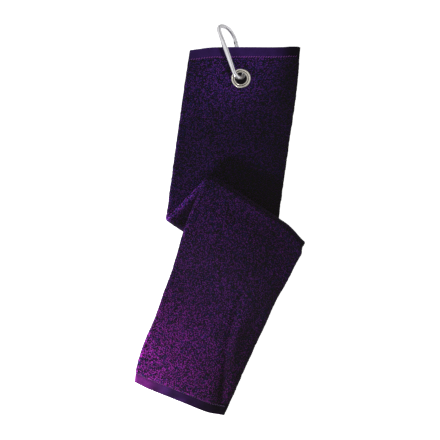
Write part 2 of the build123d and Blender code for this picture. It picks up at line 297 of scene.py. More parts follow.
def sheet(middle, thick, dist, outline, front_pile, back_pile,
          seed=3, round_start=0.0, round_end=0.0):
    """Sweeps the outline along a strip: vertices (mm), quads, end caps and data per vertex.

    middle: mid-surface points [station, column, 3]; thick and dist: stack thickness and
    distance along the cloth [station, column]; front_pile, back_pile: pile per station."""
    stations = len(middle)
    x, depth, out_across, out_up, pile_share, girth, skin = outline.T
    across = np.gradient(middle, axis=1)
    normal = unit(np.cross(np.gradient(middle, axis=0), across))
    column = np.clip(x / WIDTH, 0, 1) * (COLUMNS - 1)
    i0 = np.clip(np.floor(column).astype(int), 0, COLUMNS - 2)
    part = (column - i0)[None, :]

    def pick(field):
        return lerp(field[:, i0], field[:, i0 + 1], part if field.ndim == 2 else part[..., None])

    across, normal = pick(unit(across)), unit(pick(normal))
    dist = pick(dist)

    # rounded ends: the skins of each layer draw together
    layer_middle = np.floor(np.clip(depth, 0.001, 2.999)) + 0.5
    level = np.broadcast_to(depth, dist.shape)
    for station, length in ((0, round_start), (stations - 1, round_end)):
        if length:
            from_end = np.abs(dist - dist[station])
            opening = np.sqrt(np.clip(1 - (1 - np.clip(from_end / length, 0, 1)) ** 2, 0.02, 1))
            level = layer_middle + (level - layer_middle) * opening
    points = pick(middle) + normal * ((0.5 - level / 3) * pick(thick))[..., None]

    # side edges wander a little, each on its own
    edge_dist = dist + 60 * (x > WIDTH / 2)
    ragged = (ripple(edge_dist, dist * 0 + 3.0, size=5.5, height=0.7, seed=seed + 80)
              + ripple(edge_dist, dist * 0 + 9.0, size=2.1, height=0.3, seed=seed + 81))
    at_side = np.maximum(1 - x / 9.0, 0) + np.maximum(1 - (WIDTH - x) / 9.0, 0)
    points = points + across * (ragged * at_side * front_pile[:, None])[..., None]

    # pile
    around = np.broadcast_to(girth, dist.shape)
    height, tag = loops(around, dist, LOOP_PITCH, seed)
    uneven = ripple(around + 400, dist + 90, size=6.0, height=1.0, seed=seed + 50)
    pile = pile_share * np.where(skin == FRONT, front_pile[:, None], back_pile[:, None])
    outward = across * out_across[:, None] + normal * out_up[:, None]
    points = points + outward * (pile * PILE_HEIGHT * (height - 0.55 + 0.35 * uneven))[..., None]

    count = len(outline)
    row = np.arange(stations - 1)[:, None] * count
    a = (row + np.arange(count)).ravel()
    b = (row + (np.arange(count) + 1) % count).ravel()
    quads = np.stack([a, b, b + count, a + count], 1)
    caps = [list(range(count))[::-1], [(stations - 1) * count + i for i in range(count)]]
    shown = np.minimum(1, pile * 4)
    data = {"tag": tag.ravel(), "pile": lerp(0.6, height, shown).ravel(),
            "across": around.ravel(), "along": dist.ravel(),
            "skin": np.broadcast_to(skin, dist.shape).ravel(),
            "station": np.repeat(np.arange(stations), count)}
    return points.reshape(-1, 3), quads, caps, data


def mesh_object(name, verts_mm, faces, material, attributes=None):
    mesh = bpy.data.meshes.new(name)
    mesh.from_pydata((np.asarray(verts_mm, float) * MM).tolist(), [],
                     [list(map(int, face)) for face in faces])
    mesh.validate(clean_customdata=False)
    for key, values in (attributes or {}).items():
        attribute = mesh.attributes.new(key, "FLOAT", "POINT")
        attribute.data.foreach_set("value", np.asarray(values, np.float32))
    ob = bpy.data.objects.new(name, mesh)
    scene.collection.objects.link(ob)
    mesh.polygons.foreach_set("use_smooth", [True] * len(mesh.polygons))
    mesh.materials.append(material)
    mesh.update()
    return ob


def attach(ob, body, node):
    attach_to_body(ob, body)
    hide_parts(node)


# ------------------------------------------------------------------ how the cloth lies
# Edges of the strips: X, Y from the +Y end down, mm
UPPER_EDGES = (
    np.array([(-37.0, 207.6), (-44.0, 163.0), (-54.2, 92.0), (-62.0, 35.0),
              in_plane(UPPER_FOLD_IN[0], UPPER_S)]),
    np.array([(98.4, 211.0), (97.2, 197.6), (96.9, 188.0), (93.7, 155.3), (84.2, 88.2),
              (72.6, 3.8), in_plane(UPPER_FOLD_IN[1], UPPER_S)]))
BOTTOM_LEFT, BOTTOM_RIGHT = (-105.2, -198.9), (5.2, -240.4)
LOWER_EDGES = (
    np.array([in_plane(LOWER_FOLD_OUT[0], LOWER_S), (-24.0, 37.0), (-44.6, -13.5),
              (-54.9, -48.0), (-63.4, -73.0), (-70.3, -91.4), (-76.6, -109.8), (-83.8, -128.1),
              (-92.0, -146.5), (-98.6, -164.9), (-103.2, -183.3), BOTTOM_LEFT]),
    np.array([in_plane(LOWER_FOLD_OUT[1], LOWER_S), (101.8, -36.3), (91.8, -54.6),
              (82.8, -73.0), (72.2, -91.4), (63.6, -109.8), (55.9, -128.1), (47.3, -146.5),
              (38.9, -164.9), (30.4, -183.3), (22.8, -201.6), (14.4, -220.0), BOTTOM_RIGHT]))

# Curves, each a list of places and a list of values there
UPPER_HEM_BOW = ([0, 0.10, 0.22, 0.5, 0.84, 0.90, 0.97, 1.0],      # share of the width
                 [0, 1.0, 2.3, 1.6, 0.4, 1.3, 1.5, 0.4])           # towards +Y
LOWER_HEM_BOW = ([0, 0.17, 0.45, 0.8, 1.0],                        # share of the width
                 [0, 2.0, 2.4, 3.4, -0.3])                         # outwards
UPPER_LIFT = ([60, 105, 150, 163, 183, 200, 215],                  # Y
              [0, 0.25, 5.7, 8.0, 8.0, 11.2, 12.4])                # underside's height
LOWER_LIFT = ([-34, -10, 29, 44, 62, 82, 100, 114, 300],           # across the folds
              [19.1, 18.0, 15.4, 12.4, 7.6, 2.6, 0.4, 0.0, 0.0])   # underside's height
CREASE = ([-245, -220, -153, -85, -40],                            # Y
          [0.5, 2.0, 9.5, 29.0, 46.0])                             # X

# How far each fold's line draws in across the width
UPPER_INWARD = (1.2 * (1 - ramp(SHARE, start=0, span=0.035)) - 0.8
                + 1.2 * ramp(SHARE, start=0.95, span=0.05))
LOWER_INWARD = (5.6 * (1 - ramp(SHARE, start=0, span=0.10)) ** 1.5
                + 6.8 * ramp(SHARE, start=0.76, span=0.25) ** 1.1)


def upper_surface(rows):
    """Strip with the grommet: middle points, thickness and distance along the cloth.

    rows: mm within the hem's depth, then that depth plus the share (0..1) of the rest."""
    dists = [np.where(rows <= HEM_DEPTH, rows,
                      HEM_DEPTH + (rows - HEM_DEPTH) * (distances(edge)[-1] - HEM_DEPTH))
             for edge in UPPER_EDGES]
    flat = between(*[along(edge, dist) for edge, dist in zip(UPPER_EDGES, dists)])
    dist = between(*dists)
    flat[..., 1] += spline(*UPPER_HEM_BOW, SHARE) * bell(dist, centre=0, width=34.0)
    x, y = flat[..., 0], flat[..., 1]
    # raised towards the hem, less so away from x = 26
    fall = 1 - 0.62 * ramp(np.abs(x - 26.0), start=44, span=34.0)
    low = spline(*UPPER_LIFT, y) * fall + CLEARANCE
    # gentle waves and a faint ridge near the left edge, calm round the grommet
    waves = (ripple(x + 300, y + 500, size=46, height=1.9, seed=11)
             + ripple(x + 300, y + 500, size=18, height=1.0, seed=12))
    waves += (0.7 * bell(x, centre=-30 + 0.08 * y, width=9.0)
              * ramp(y, start=130, span=-60) * ramp(y, start=10, span=40))
    radius = np.hypot(x - GROMMET[0], y - GROMMET[1])
    calm = ramp(radius, start=30, span=40)
    # thinner towards the hem and at the side edges
    thick = FULL_THICK - 1.3 * ramp(y, start=140, span=24.0)
    thick = thick - (1.9 * ramp(SHARE, start=0.84, span=0.16)
                     + 0.5 * (1 - ramp(SHARE, start=0, span=0.05))) * ramp(y, start=-30, span=60)
    top = low + thick + (waves + 1.5 * CROWN * ramp(y, start=175, span=-60)) * calm
    # pinched between the grommet's flanges, with radial puckers round it
    pinch = 1 - ramp(radius, start=11.2, span=9.0)
    top = lerp(top, WEB_TOP - 0.25, pinch)
    low = lerp(low, WEB_LOW + 0.2, pinch)
    angle = np.arctan2(y - GROMMET[1], x - GROMMET[0])
    top = top + bell(radius, centre=16.5, width=5.0) * 0.35 * np.sin(7 * angle + 0.8)
    return np.dstack([x, y, (top + low) / 2]), top - low, dist


def edge_slide(start, end, share):
    """Tau over the columns as the strip's two ends slide from start to end."""
    return between(*[a + (b - a) * share for a, b in zip(start, end)])


def fold_loop(s, low, high, angles, start, end, inward, bulge):
    """Half a turn round a fold. bulge: 1 towards the free end, -1 away from it."""
    radius, middle = (high - low) / 2, (high + low) / 2
    s = s + bulge * (radius * np.sin(angles)[:, None] - inward)
    z = middle - radius * np.cos(angles)[:, None]
    return in_space(edge_slide(start, end, angles / math.pi), s, z)


def middle_surface(share):
    """Strip between the folds; share is 0 at the upper fold and 1 at the lower one."""
    down = share[:, None]
    s = UPPER_S + (LOWER_S - UPPER_S) * down
    s = s + (-(UPPER_INWARD * (1 - down)) + LOWER_INWARD * down)
    # sags beside its left edge, which stays up as a rim
    sag = 2.7 * np.sin(math.pi * down) ** 0.7 * bell(SHARE, centre=0.15, width=0.11)
    rim = 2.3 * np.sin(math.pi * (0.1 + 0.9 * down)) * bell(SHARE, centre=0, width=0.034)
    z = UPPER_FOLD_HIGH + (LOWER_FOLD_LOW - UPPER_FOLD_HIGH) * smooth01(down) - sag + rim
    return in_space(edge_slide(MIDDLE_START, LOWER_FOLD_IN, share), s, z)


def lower_surface(rows):
    """Top strip: middle points, thickness, distance along the cloth and distance to its end.

    rows: share (0..1) down to the hem, then 1 + mm into the hem."""
    lengths = [distances(edge)[-1] for edge in LOWER_EDGES]
    dists = [np.where(rows <= 1, rows * (length - HEM_DEPTH), length - HEM_DEPTH + (rows - 1))
             for length in lengths]
    flat = between(*[along(edge, dist) for edge, dist in zip(LOWER_EDGES, dists)])
    inward = LOWER_INWARD * (1 - ramp(rows, start=0, span=0.10))[:, None]
    flat = flat + inward[..., None] * ACROSS_FOLD
    to_end = between(*[np.maximum(length - dist, 0) for length, dist in zip(lengths, dists)])
    # the hem bows outwards between its corners
    hem_x, hem_y = np.subtract(BOTTOM_RIGHT, BOTTOM_LEFT)
    bow = spline(*LOWER_HEM_BOW, SHARE) * bell(to_end, centre=0, width=30.0)
    flat = flat + bow[..., None] * unit(np.array([hem_y, -hem_x]))
    x, y = flat[..., 0], flat[..., 1]
    s = x * ACROSS_FOLD[0] + y * ACROSS_FOLD[1]
    waves = (ripple(x + 900, y + 900, size=52, height=2.4, seed=21)
             + ripple(x + 900, y + 900, size=19, height=1.1, seed=22))
    # a soft crease down its length with a ridge on its right, and a fainter crease on its left
    crease = spline(*CREASE, y)
    faint = crease - 34 + 0.05 * (y + 150)
    below = ramp(y, start=-45, span=-50.0)
    shape = (-2.3 * bell(x, centre=crease, width=5.0) * below
             + 0.9 * bell(x, centre=crease + 11.0, width=7.0) * below
             - 0.8 * bell(x, centre=faint, width=9.0) * ramp(y, start=-70, span=-50.0))
    inside = ramp(np.minimum(SHARE, 1 - SHARE) * WIDTH, start=0, span=9.0)
    free = ramp(s, start=-28, span=30.0)
    # thinner towards the hem and on the right
    thick = (FULL_THICK - 1.9 * ramp(to_end, start=20.0, span=-16.0)
             - 2.6 * ramp(SHARE, start=0.80, span=0.20) * ramp(y, start=30, span=-40)
             - 0.9 * ramp(SHARE, start=0.72, span=0.2) * ramp(y, start=-90, span=-60))
    low = spline(*LOWER_LIFT, s) + CLEARANCE
    top = low + thick + (waves * free + shape) * inside + 2.4 * CROWN * free
    # the right corner turns up a little
    curl = ramp(SHARE, start=0.9, span=0.1) * ramp(to_end, start=26, span=-26.0)
    top = top + 1.6 * curl
    low = low + 1.2 * curl
    return np.dstack([x, y, (top + low) / 2]), top - low, between(*dists), to_end


# ------------------------------------------------------------------ strips joined round a fold
def pull(grid, row, target, share):
    """Shifts the stations by their share of what brings one row onto the target."""
    return grid + (target - grid[row]) * share[:, None, None]


def middle_strip(grid):
    """The middle strip with its thickness and its distance from the first row."""
    steps = np.linalg.norm(np.diff(grid, axis=0), axis=2)
    dist = np.cumsum(np.concatenate([np.zeros((1, COLUMNS)), steps]), 0)
    return grid, np.full(dist.shape, FULL_THICK), dist


def join(before, loop, angles, run, after):
    """Grid, thickness, distance, share of the fold's turn and part (0, 1 loop, 2) by station."""
    inner = len(angles) - 2
    around = np.linspace(0, run, len(angles))
    last = before[2][-1]
    grid = np.concatenate([before[0], loop[1:-1], after[0]])
    thick = np.concatenate([before[1], np.full((inner, COLUMNS), FULL_THICK), after[1]])
    dist = np.concatenate([before[2], last + around[1:-1, None], last + around[-1] + after[2]])
    turn = np.concatenate([np.zeros(len(before[0])), (angles / math.pi)[1:-1],
                           np.ones(len(after[0]))])
    part = np.repeat([0, 1, 2], [len(before[0]), inner, len(after[0])])
    return grid, thick, dist, turn, part


def upper_piece():
    """The upper strip, the upper fold and half the middle strip."""
    angles = np.linspace(0, math.pi, 25)
    loop = fold_loop(UPPER_S, UPPER_FOLD_LOW, UPPER_FOLD_HIGH, angles,
                     UPPER_FOLD_IN, UPPER_FOLD_OUT, UPPER_INWARD, bulge=1)
    rows = np.concatenate([[HEM_DEPTH - 1.6, HEM_DEPTH - 0.5],
                           HEM_DEPTH + np.linspace(0.0, 1.0, 246)])
    grid, thick, dist = upper_surface(rows)
    near = ramp(rows, start=HEM_DEPTH + 0.86, span=0.14)
    strip = pull(grid, -1, loop[0], near), lerp(thick, FULL_THICK, near[:, None]), dist
    share = np.linspace(0, 0.5, 31)
    middle = pull(middle_surface(share), 0, loop[-1], 1 - ramp(share, start=0, span=0.12))
    return join(strip, loop, angles, UPPER_FOLD_RUN, middle_strip(middle))


def lower_piece():
    """The other half of the middle strip, the lower fold and the lower strip."""
    angles = np.linspace(0, math.pi, 26)
    loop = fold_loop(LOWER_S, LOWER_FOLD_LOW, LOWER_FOLD_HIGH, angles,
                     LOWER_FOLD_IN, LOWER_FOLD_OUT, LOWER_INWARD, bulge=-1)
    share = np.linspace(0.5, 1, 31)
    middle = pull(middle_surface(share), -1, loop[0], ramp(share, start=0.88, span=0.12))
    rows = np.concatenate([np.linspace(0, 1, 246), [1 + 0.5, 1 + 1.6]])
    grid, thick, dist, _ = lower_surface(rows)
    near = 1 - ramp(rows, start=0, span=0.10)
    strip = pull(grid, 0, loop[-1], near), lerp(thick, FULL_THICK, near[:, None]), dist
    return join(middle_strip(middle), loop, angles, LOWER_FOLD_RUN, strip)


# ------------------------------------------------------------------ procedural materials
class Material:
    """A node material round one Principled shader, built from small steps."""

    def __init__(self, name):
        self.material = bpy.data.materials.new(name)
        self.material.use_nodes = True
        self.tree = self.material.node_tree
        self.tree.nodes.clear()
        output = self.tree.nodes.new("ShaderNodeOutputMaterial")
        self.shader = self.tree.nodes.new("ShaderNodeBsdfPrincipled")
        self.tree.links.new(self.shader.outputs[0], output.inputs[0])

    def feed(self, node, inputs):
        """Links or sets inputs, given by name or number."""
        for key, value in inputs.items():
            if isinstance(value, bpy.types.NodeSocket):
                self.tree.links.new(value, node.inputs[key])
            else:
                node.inputs[key].default_value = value

    def node(self, kind, inputs=None, **properties):
        node = self.tree.nodes.new(kind)
        for key, value in properties.items():
            setattr(node, key, value)
        self.feed(node, inputs or {})
        return node

    def surface(self, inputs):
        self.feed(self.shader, inputs)

    def attribute(self, name):
        return self.node("ShaderNodeAttribute", attribute_name=name).outputs["Fac"]

    def position(self):
        return self.node("ShaderNodeTexCoord").outputs["Object"]

    def calc(self, operation, a, b=0.0):
        return self.node("ShaderNodeMath", {0: a, 1: b}, operation=operation).outputs[0]

    def remap(self, value, span, to):
        inputs = {0: value, 1: span[0], 2: span[1], 3: to[0], 4: to[1]}
        return self.node("ShaderNodeMapRange", inputs).outputs[0]

    def mix(self, share, first, second):
        inputs = {0: share, 6: first, 7: second}
        return self.node("ShaderNodeMix", inputs, data_type="RGBA").outputs[2]

    def brighten(self, colour, factor):
        inputs = {0: colour, 3: factor}
        return self.node("ShaderNodeVectorMath", inputs, operation="SCALE").outputs[0]

    def noise(self, position, scale, detail=2.0, rough=0.5):
        inputs = {"Scale": scale, "Detail": detail, "Roughness": rough, "Vector": position}
        return self.node("ShaderNodeTexNoise", inputs).outputs[0]

    def bump(self, height, strength, distance):
        inputs = {"Height": height, "Strength": strength, "Distance": distance}
        self.surface({"Normal": self.node("ShaderNodeBump", inputs).outputs[0]})


def darker(colour, factor):
    return tuple(x * factor for x in colour[:3]) + (1,)


PAINTED_GLOW = (1.0, 0.95, 0.58, 1)        # painted glow: a faint emission that lifts the cloth's shade, so that dark cloth is never black


def terry_material():
    """Black and purple loops; each cell takes one of four colours at random."""
    gap = (0.0004, 0.0003, 0.0003, 1)
    cool, painted_light_warm = (0.005, 0.0020, 0.010, 1), (0.095, 0.0090, 0.120, 1)
    cool_speck, painted_light_warm_speck = (0.125, 0.0210, 0.275, 1), (0.480, 0.021, 0.520, 1)
    blue = (0.026, 0.0170, 0.190, 1)
    cell_size = 1.08               # mm
    m = Material("terry")
    # painted light: the cloth turns brighter and warmer towards the lit near-left corner
    painted_light_warmth = m.attribute("painted_light_warm")
    at = m.node("ShaderNodeCombineXYZ",
                {"X": m.attribute("across"), "Y": m.attribute("along")}).outputs[0]
    cells = m.node("ShaderNodeTexVoronoi",
                   {"Vector": at, "Scale": 1 / cell_size, "Randomness": 0.90},
                   voronoi_dimensions="2D", feature="F1")
    near = cells.outputs["Distance"]
    random = m.node("ShaderNodeSeparateColor", {0: cells.outputs["Color"]})
    kind, brightness = random.outputs[0], random.outputs[1]
    body = m.mix(painted_light_warmth, cool, painted_light_warm)
    speck = m.mix(painted_light_warmth, cool_speck, painted_light_warm_speck)
    colour = m.mix(m.remap(kind, span=(0.64, 0.68), to=(0, 1.0)), body, speck)
    colour = m.mix(m.remap(kind, span=(0.52, 0.49), to=(0, 0.9)), colour, blue)
    colour = m.mix(m.remap(kind, span=(0.32, 0.29), to=(0, 0.95)), colour, gap)
    # painted shade between the loops
    colour = m.mix(m.remap(near, span=(0.24, 0.48), to=(0, 0.90)), colour, gap)
    # painted shade where the modelled pile is low
    low_pile_painted_shade = m.remap(m.attribute("pile"), span=(0.05, 0.55), to=(0.28, 0))
    colour = m.mix(low_pile_painted_shade, colour, gap)
    fibre = m.noise(m.position(), scale=2600.0, rough=0.6)
    light = m.calc("MULTIPLY", m.remap(fibre, span=(0.3, 0.7), to=(0.70, 1.35)),
                   m.remap(brightness, span=(0, 1), to=(0.45, 1.55)))
    light = m.calc("MULTIPLY", light, m.attribute("tone_and_painted_light"))
    # painted glow: a faint emission lifts the shade
    m.surface({"Base Color": m.brighten(colour, light),
               "Emission Color": PAINTED_GLOW, "Emission Strength": 0.0042,
               "Roughness": m.remap(fibre, span=(0.2, 0.8), to=(0.80, 0.97)),
               "Specular IOR Level": 0.14, "Sheen Weight": 0.025, "Sheen Roughness": 0.40,
               "Sheen Tint": (0.55, 0.10, 0.70, 1)})
    fluff = m.calc("ADD", m.calc("MULTIPLY", fibre, 0.35), m.calc("MULTIPLY", brightness, 0.5))
    m.bump(m.calc("SUBTRACT", fluff, near), strength=0.75, distance=0.0006)
    return m.material


def hem_material():
    """Plain purple weave."""
    cool, painted_light_warm = (0.050, 0.0160, 0.150, 1), (0.115, 0.0060, 0.118, 1)
    dark = (0.014, 0.0040, 0.030, 1)
    warp_period, weft_period = 0.62, 0.78        # mm
    m = Material("hem_weave")
    # painted light: warmer towards the lit near-left corner
    base = m.mix(m.attribute("painted_light_warm"), cool, painted_light_warm)
    warp, weft = [m.calc("SINE", m.calc("MULTIPLY", m.attribute(name), 2 * math.pi / period))
                  for name, period in (("across", warp_period), ("along", weft_period))]
    weave = m.calc("MULTIPLY", warp, weft)
    position = m.position()
    fibre = m.noise(position, scale=1500.0, rough=0.6)
    soft = m.noise(position, scale=110.0)
    crown = m.calc("ADD", m.remap(weave, span=(-1, 1), to=(0.1, 0.75)),
                   m.remap(fibre, span=(0.3, 0.7), to=(-0.12, 0.25)))
    light = m.calc("MULTIPLY", m.remap(soft, span=(0.3, 0.7), to=(0.85, 1.15)),
                   m.attribute("tone_and_painted_light"))
    # painted glow: a faint emission lifts the shade
    m.surface({"Base Color": m.brighten(m.mix(crown, dark, base), light),
               "Roughness": m.remap(fibre, span=(0.2, 0.8), to=(0.6, 0.85)),
               "Specular IOR Level": 0.07, "Sheen Weight": 0.02, "Sheen Roughness": 0.4,
               "Sheen Tint": (0.60, 0.20, 0.70, 1),
               "Emission Color": PAINTED_GLOW, "Emission Strength": 0.0036})
    m.bump(m.calc("ADD", m.calc("MULTIPLY", weave, 0.6), fibre), strength=0.5, distance=0.00025)
    return m.material


def thread_material(name, colour):
    m = Material(name)
    fibre = m.noise(m.position(), scale=3000.0)
    fleck = m.remap(fibre, span=(0.35, 0.65), to=(0, 1))
    m.surface({"Base Color": m.mix(fleck, darker(colour, 0.55), colour),
               "Roughness": 0.42, "Sheen Weight": 0.2})
    m.bump(fibre, strength=0.4, distance=0.00015)
    return m.material


def metal_material(name, colour, rough):
    """Polished metal, slightly worn, with painted shade where its attribute says so."""
    wear = 0.05                    # roughness added by wear
    recess_shade_colour = (0.022, 0.020, 0.022, 1)
    m = Material(name)
    position = m.position()
    broad = m.noise(position, scale=70.0, detail=3.0, rough=0.6)
    fine = m.noise(position, scale=900.0)
    clean = m.mix(m.remap(broad, span=(0.35, 0.7), to=(0, 1)), darker(colour, 0.80), colour)
    # painted shade: darker in the eyelet's groove and inside its hole
    painted_recess_shade = m.calc("MULTIPLY", m.attribute("painted_recess_shade"), 0.93)
    roughness = m.calc("ADD", m.remap(broad, span=(0.3, 0.7), to=(rough, rough + wear)),
                       m.remap(fine, span=(0.3, 0.7), to=(0.0, wear)))
    m.surface({"Base Color": m.mix(painted_recess_shade, clean, recess_shade_colour), "Metallic": 1.0, "Roughness": roughness})
    m.bump(m.calc("ADD", broad, m.calc("MULTIPLY", fine, 0.05)), strength=0.05, distance=0.0001)
    return m.material


TERRY = terry_material()
HEM = hem_material()
THREAD = thread_material("thread", colour=(0.270, 0.030, 0.400, 1))
# the same thread darkened as painted shade, for the lower hem
THREAD_PAINTED_SHADE = thread_material("thread_lower", colour=(0.040, 0.009, 0.080, 1))
EYELET = metal_material("eyelet_metal", colour=(0.84, 0.79, 0.71, 1), rough=0.20)
CHROME = metal_material("hook_metal", colour=(0.84, 0.83, 0.86, 1), rough=0.16)
PIN = metal_material("pin_steel", colour=(0.66, 0.65, 0.64, 1), rough=0.26)


# ------------------------------------------------------------------ the two terry pieces
# Painted light and shade along the lower strip, standing in for the light's falloff: Y, factor
LOWER_STRIP_PAINTED_LIGHT = ([-212, -165, -135, -110, -85, -60, -35, -8, 20],
       [0.80, 1.0, 0.95, 0.80, 0.60, 0.48, 0.60, 0.80, 1.0])


def left_rim(around, width):
    """1 on the left fold's edge, falling to 0 at the given distance."""
    return np.clip(1 - np.abs(around + 1.0) / width, 0, 1)


def towards_corner(verts):
    """Distance towards the near left corner."""
    return -verts[:, 0] * 0.62 - verts[:, 1] * 0.78


def terry_tone_and_painted_light(verts, skin, around, zone):
    """Painted light and shade over random tone: a painted highlight on the left rim, painted shade
    to the right and deep between the strips.
    """
    x, y = verts[:, 0], verts[:, 1]
    tone_and_painted_light = (0.95 + 0.14 * value_noise(x + 200, y + 700, size=9.0, seed=61)
            + ripple(x + 100, y + 500, size=33.0, height=0.20, seed=62))
    # painted shade towards the right, and more at the lower strip's right edge
    tone_and_painted_light = tone_and_painted_light * (1.08 - 0.55 * ramp(around, start=56, span=78.0))
    tone_and_painted_light = tone_and_painted_light * (1 - 0.45 * ramp(around, start=112, span=18.0) * ramp(y, start=-60, span=-60.0))
    # a painted shade line and a painted highlight line along the right edge, towards the free end
    down = ramp(y, start=-85, span=-45.0)
    tone_and_painted_light = tone_and_painted_light * (1 - 0.50 * down * bell(around, centre=113, width=6.5))
    tone_and_painted_light = tone_and_painted_light * (1 + 0.45 * down * bell(around, centre=125, width=3.5))
    # a painted highlight on the left rim
    tone_and_painted_light = tone_and_painted_light * (1 + left_rim(around, width=6.0))
    # painted light along the lower strip and its fold, fading out on the right towards the fold
    painted_light_by_y = np.interp(y, *LOWER_STRIP_PAINTED_LIGHT)
    painted_light_by_y = painted_light_by_y + (1 - painted_light_by_y) * ramp(around, start=88, span=30.0) * ramp(y, start=-95, span=40.0)
    tone_and_painted_light = tone_and_painted_light * np.where(zone > 2, painted_light_by_y, 1.0)
    # upper fold and middle strip: a painted highlight on the left edge, painted shade behind it,
    # even further in
    inwards = np.maximum(np.where(skin == BACK, -around - 9.0, around), 0)
    painted_rim_light_and_shade = 0.30 + 3.2 * bell(inwards, centre=0, width=4.0)
    painted_rim_light_and_shade = painted_rim_light_and_shade + (0.85 - painted_rim_light_and_shade) * ramp(inwards, start=26.0, span=44.0)
    shaded = ((zone == 1) | (zone == 2)) & ((skin == BACK) | (around < 4))
    return np.where(shaded, tone_and_painted_light * painted_rim_light_and_shade, tone_and_painted_light)


def cut_hole(verts, quads, on_strip):
    """Drops the quads inside the grommet and pushes the cloth round it outwards, in place."""
    radius = np.hypot(verts[:, 0] - GROMMET[0], verts[:, 1] - GROMMET[1])
    gone = on_strip & (radius < HOLE_R)
    moved = on_strip & (radius < HOLE_PUSH_R) & ~gone
    scale = (HOLE_EDGE_R + (radius[moved] - HOLE_R) * 0.6) / radius[moved]
    verts[moved, :2] = GROMMET + (verts[moved, :2] - GROMMET) * scale[:, None]
    return quads[~gone[quads].any(1)]


def build_terry(name, piece, first_zone, loop_pile, bodies, axis, seed, hole=False, **rounding):
    """first_zone: number of the piece's first part; loop_pile: front and back pile in the fold."""
    grid, thick, dist, turn, part = piece
    front_pile, back_pile = [np.where(part == 1, pile, 1.0) for pile in loop_pile]
    verts, quads, caps, data = sheet(grid, thick, dist, cross_section(), front_pile, back_pile,
                                     seed=seed, **rounding)
    zone = (part + first_zone)[data["station"]]
    if hole:
        quads = cut_hole(verts, quads, on_strip=zone == 0)
    around = data["across"]
    # painted light: warmer towards the lit near-left corner, less so to the right
    painted_light_warm = (0.16 * ramp(verts[:, 1], start=60, span=-60.0)
            + 0.84 * ramp(towards_corner(verts), start=0, span=205.0) ** 1.9
            * (1 - 0.35 * ramp(around, start=15, span=70.0)))
    attributes = {"tag": data["tag"], "pile": data["pile"],
                  "tone_and_painted_light": terry_tone_and_painted_light(verts, data["skin"], around, zone),
                  "across": around, "along": data["along"], "painted_light_warm": painted_light_warm}
    ob = mesh_object(name, verts, [list(quad) for quad in quads] + caps, TERRY, attributes)
    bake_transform(ob)
    return ob


terry_upper = build_terry("towel_terry_upper", upper_piece(), first_zone=0, loop_pile=(0.0, 1.0),
                          bodies=("towel_top", "towel_middle"), axis=UPPER_AXIS, seed=3,
                          hole=True, round_start=END_ROUNDING)
terry_lower = build_terry("towel_terry_lower", lower_piece(), first_zone=2, loop_pile=(1.0, 0.0),
                          bodies=("towel_middle", "towel_bottom"), axis=LOWER_AXIS, seed=5,
                          round_end=END_ROUNDING)
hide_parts("upper_panel", "upper_fold")
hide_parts("middle_panel", "lower_fold", "lower_panel")


# ------------------------------------------------------------------ hems
# Painted light and shade round the skin: distance in mm, factor
UPPER_SHADE = ([0, 30, 100, 112, 121, 136], [1.15, 1.05, 0.95, 0.70, 0.20, 0.08])
LOWER_SHADE = ([0, 14, 34, 58, 80, 98, 136], [2.0, 1.7, 1.05, 0.90, 0.50, 0.16, 0.06])


def hem_thickness(from_edge, shift):
    """The stitch line sits in a shallow groove with small gathers."""
    x = SHARE * WIDTH + shift
    groove = bell(from_edge, centre=STITCH_LINE, width=1.3)
    gather = 0.5 + 0.5 * np.sin(2 * math.pi * x / 3.1)
    swell = np.sin(2 * math.pi * x / 6.2) * bell(from_edge, centre=STITCH_LINE + 3, width=3.0)
    return HEM_THICK - groove * (0.55 + 0.25 * gather) + 0.10 * swell


def build_hem(name, grid, thick, dist, body, node, shade, upper):
    outline = cross_section(front=0.9, arc=0.8, hidden=9)
    no_pile = np.zeros(len(grid))
    rounding = {"round_start" if upper else "round_end": HEM_ROUNDING}
    verts, quads, caps, data = sheet(grid, thick, dist, outline, no_pile, no_pile, **rounding)
    x, y = verts[:, 0], verts[:, 1]
    around, v = data["across"], data["along"]
    tone_and_painted_light = 0.92 + 0.16 * value_noise(x + 500, y + 500, size=7.0, seed=71)
    # painted light and shade round the skin
    tone_and_painted_light = tone_and_painted_light * np.interp(around, *shade)
    if upper:
        # painted highlights along both of its long edges
        from_lip = np.minimum(np.abs(v - v.min()), np.abs(v - v.max()))
        tone_and_painted_light = tone_and_painted_light * (1 + 1.3 * bell(from_lip, centre=0, width=1.0))
    else:
        # blotchy at random, and painted shade on the cut end
        tone_and_painted_light = tone_and_painted_light * (0.45 + 1.1 * value_noise(x + 300, y * 1.7 + 300, size=11.0, seed=77))
        tone_and_painted_light = tone_and_painted_light * (1 - 0.6 * bell(v, centre=v.max(), width=0.9))
    # painted light: warmer towards the lit near-left corner, less so along the skin
    painted_light_warm = (ramp(towards_corner(verts), start=-10, span=205.0) ** 1.3
            * (1 - 0.75 * ramp(around, start=14, span=40.0)))
    # a painted highlight on the left rim
    attributes = {"across": around, "along": v,
                  "tone_and_painted_light": tone_and_painted_light * (1 + 0.5 * left_rim(around, width=5.0)), "painted_light_warm": painted_light_warm}
    ob = mesh_object(name, verts, [list(quad) for quad in quads] + caps, HEM, attributes)
    attach(ob, body, node)


# Rows from the outer edge inwards, mm; the last lies just past the hem
upper_rows = np.concatenate([[0.0, 0.12, 0.4, 0.85], np.linspace(1.4, HEM_DEPTH, 25),
                             [HEM_DEPTH + 0.0045]])
upper_grid, _, upper_dist = upper_surface(upper_rows)
upper_thick = hem_thickness(upper_dist, shift=0.0)
build_hem("towel_hem_upper", upper_grid, upper_thick, upper_dist, "towel_top", "top_hem_band",
          UPPER_SHADE, upper=True)

